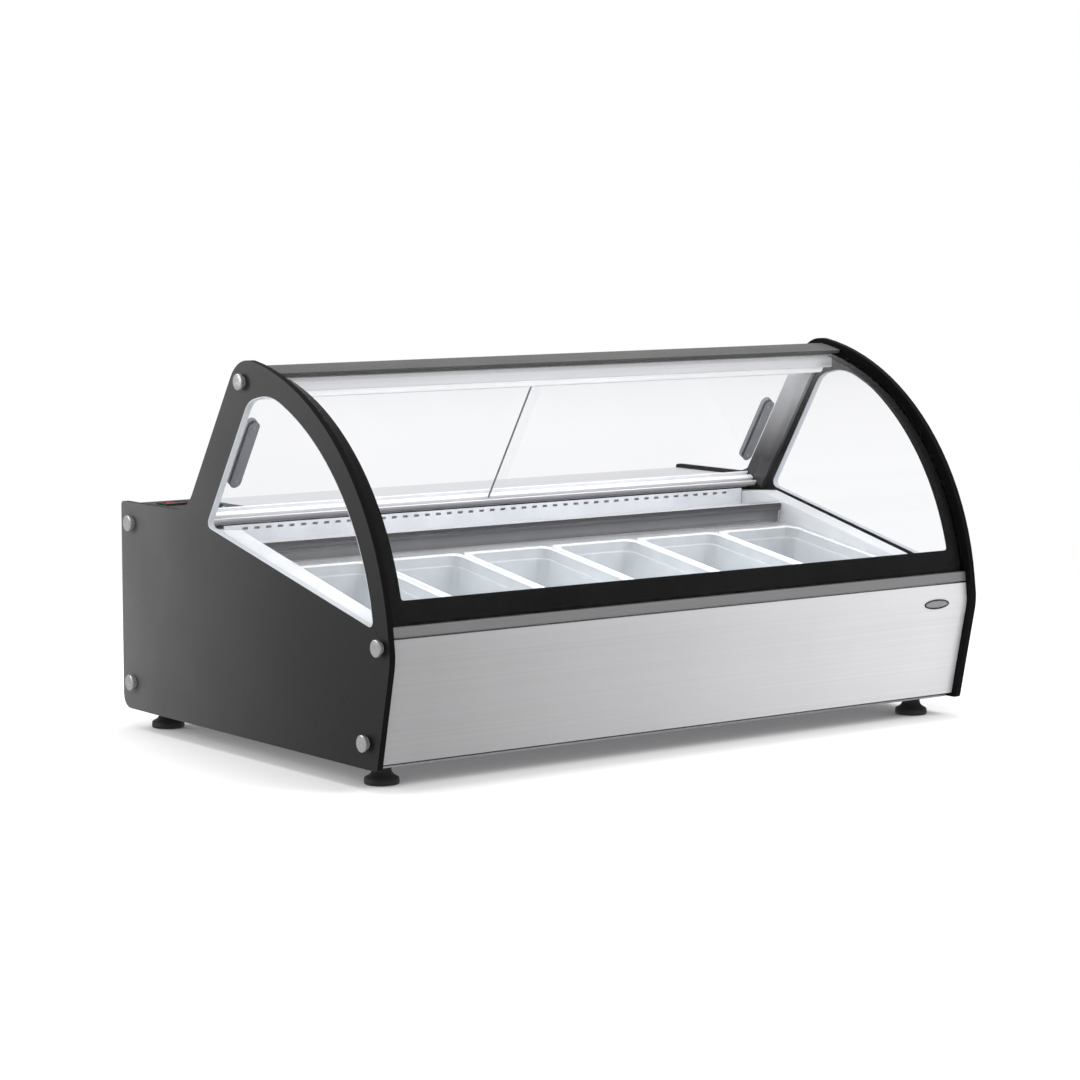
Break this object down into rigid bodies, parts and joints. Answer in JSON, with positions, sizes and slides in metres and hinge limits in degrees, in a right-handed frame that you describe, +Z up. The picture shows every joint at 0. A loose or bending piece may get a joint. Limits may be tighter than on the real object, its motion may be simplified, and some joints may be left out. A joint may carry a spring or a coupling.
{
  "type": "ice cream dipping cabinet",
  "caption": "Countertop refrigerated dipping cabinet with curved front glass, tilted row of clear pans, black side panels and sliding rear doors.",
  "frame": {"origin": "on the counter, under the middle of the cabinet's overall box", "axes": "+X to the customer's right across the width, +Y towards the server's side (rear doors), +Z up; the curved glass faces -Y"},
  "size_m": [1.191, 0.78, 0.6172],
  "materials": {
    "black_paint": "satin powder coat",
    "brushed_steel": "long-grain brushed",
    "bright_steel": "fine polished",
    "aluminium": "satin anodised",
    "white_plastic": "smooth food-safe plastic",
    "lamp_plastic": "opal diffuser",
    "clear_glass": "clear toughened glass",
    "pan_plastic": "clear polycarbonate",
    "galvanised_steel": "galvanised sheet",
    "motor_black": "black enamel",
    "copper": "copper tube",
    "rubber": "matte moulded",
    "grey_plastic": "moulded grey",
    "black_plastic": "moulded black"
  },
  "bodies": {
    "cabinet": {"left_side_panel": "black_paint", "right_side_panel": "black_paint", "top_rail": "black_paint", "left_side_glass": "clear_glass", "right_side_glass": "clear_glass", "front_glass": "clear_glass", "left_panel_bolt_1": "bright_steel", "left_panel_bolt_2": "bright_steel", "left_panel_bolt_3": "bright_steel", "left_panel_bolt_4": "bright_steel", "left_panel_bolt_5": "bright_steel", "right_panel_bolt_1": "bright_steel", "right_panel_bolt_2": "bright_steel", "right_panel_bolt_3": "bright_steel", "right_panel_bolt_4": "bright_steel", "right_panel_bolt_5": "bright_steel", "well_liner": "bright_steel", "pan_frame": "bright_steel", "front_panel": "brushed_steel", "rear_shelf": "brushed_steel", "glass_trim_strip": "aluminium", "lamp_housing": "aluminium", "evaporator_coil": "aluminium", "left_door_jamb": "aluminium", "right_door_jamb": "aluminium", "lower_door_track": "aluminium", "upper_door_track": "aluminium", "lamp_diffuser": "lamp_plastic", "insulated_body": "white_plastic", "duct_panel": "white_plastic", "base_tray": "galvanised_steel", "rear_panel": "galvanised_steel", "condenser_coil": "galvanised_steel", "condenser_fan_shroud": "galvanised_steel", "power_inlet": "black_plastic", "control_panel": "black_plastic", "temperature_controller": "black_plastic", "compressor": "motor_black", "suction_line": "copper", "liquid_line": "copper"},
    "left_door": {"left_door_glass": "clear_glass", "left_door_pull": "grey_plastic"},
    "right_door": {"right_door_glass": "clear_glass", "right_door_pull": "grey_plastic"},
    "condenser_fan_wheel": {"condenser_fan": "motor_black"},
    "evaporator_fan_wheel": {"evaporator_fan": "grey_plastic"},
    "power_switch": {"power_switch_rocker": "black_plastic"},
    "light_switch": {"light_switch_rocker": "black_plastic"},
    "up_key": {"temperature_up_key": "grey_plastic"},
    "down_key": {"temperature_down_key": "grey_plastic"},
    "pan_body_1": {"pan_1": "pan_plastic"},
    "pan_body_2": {"pan_2": "pan_plastic"},
    "pan_body_3": {"pan_3": "pan_plastic"},
    "pan_body_4": {"pan_4": "pan_plastic"},
    "pan_body_5": {"pan_5": "pan_plastic"},
    "pan_body_6": {"pan_6": "pan_plastic"},
    "rear_left_foot_body": {"rear_left_foot": "rubber"},
    "rear_right_foot_body": {"rear_right_foot": "rubber"},
    "front_left_foot_body": {"front_left_foot": "rubber"},
    "front_right_foot_body": {"front_right_foot": "rubber"}
  },
  "joints": [
    {"name": "left_door_slide", "type": "slide", "parent": "cabinet", "child": "left_door", "axis": [1, 0, 0], "range_m": [0, 0.54]},
    {"name": "right_door_slide", "type": "slide", "parent": "cabinet", "child": "right_door", "axis": [-1, 0, 0], "range_m": [0, 0.54]},
    {"name": "pan_1_lift", "type": "slide", "parent": "cabinet", "child": "pan_body_1", "axis": [0, -0.1564, 0.9877], "range_m": [0, 0.11]},
    {"name": "pan_2_lift", "type": "slide", "parent": "cabinet", "child": "pan_body_2", "axis": [0, -0.1564, 0.9877], "range_m": [0, 0.11]},
    {"name": "pan_3_lift", "type": "slide", "parent": "cabinet", "child": "pan_body_3", "axis": [0, -0.1564, 0.9877], "range_m": [0, 0.11]},
    {"name": "pan_4_lift", "type": "slide", "parent": "cabinet", "child": "pan_body_4", "axis": [0, -0.1564, 0.9877], "range_m": [0, 0.11]},
    {"name": "pan_5_lift", "type": "slide", "parent": "cabinet", "child": "pan_body_5", "axis": [0, -0.1564, 0.9877], "range_m": [0, 0.11]},
    {"name": "pan_6_lift", "type": "slide", "parent": "cabinet", "child": "pan_body_6", "axis": [0, -0.1564, 0.9877], "range_m": [0, 0.11]},
    {"name": "condenser_fan_spin", "type": "hinge", "parent": "cabinet", "child": "condenser_fan_wheel", "pos_m": [0.158, 0.282, 0.114], "axis": [1, 0, 0], "continuous": true},
    {"name": "evaporator_fan_spin", "type": "hinge", "parent": "cabinet", "child": "evaporator_fan_wheel", "pos_m": [0, 0.108, 0.223], "axis": [0, 0, 1], "continuous": true},
    {"name": "power_switch_rock", "type": "hinge", "parent": "cabinet", "child": "power_switch", "pos_m": [-0.535, 0.252, 0.3673], "axis": [1, 0, 0], "range_deg": [0, 16]},
    {"name": "light_switch_rock", "type": "hinge", "parent": "cabinet", "child": "light_switch", "pos_m": [-0.487, 0.252, 0.3673], "axis": [1, 0, 0], "range_deg": [0, 16]},
    {"name": "up_key_press", "type": "slide", "parent": "cabinet", "child": "up_key", "axis": [0, 0, -1], "range_m": [0, 0.0008]},
    {"name": "down_key_press", "type": "slide", "parent": "cabinet", "child": "down_key", "axis": [0, 0, -1], "range_m": [0, 0.0008]},
    {"name": "rear_left_foot_turn", "type": "hinge", "parent": "cabinet", "child": "rear_left_foot_body", "pos_m": [-0.534, 0.336, 0], "axis": [0, 0, 1], "continuous": true},
    {"name": "rear_right_foot_turn", "type": "hinge", "parent": "cabinet", "child": "rear_right_foot_body", "pos_m": [0.534, 0.336, 0], "axis": [0, 0, 1], "continuous": true},
    {"name": "front_left_foot_turn", "type": "hinge", "parent": "cabinet", "child": "front_left_foot_body", "pos_m": [-0.534, -0.291, 0], "axis": [0, 0, 1], "continuous": true},
    {"name": "front_right_foot_turn", "type": "hinge", "parent": "cabinet", "child": "front_right_foot_body", "pos_m": [0.534, -0.291, 0], "axis": [0, 0, 1], "continuous": true}
  ]
}
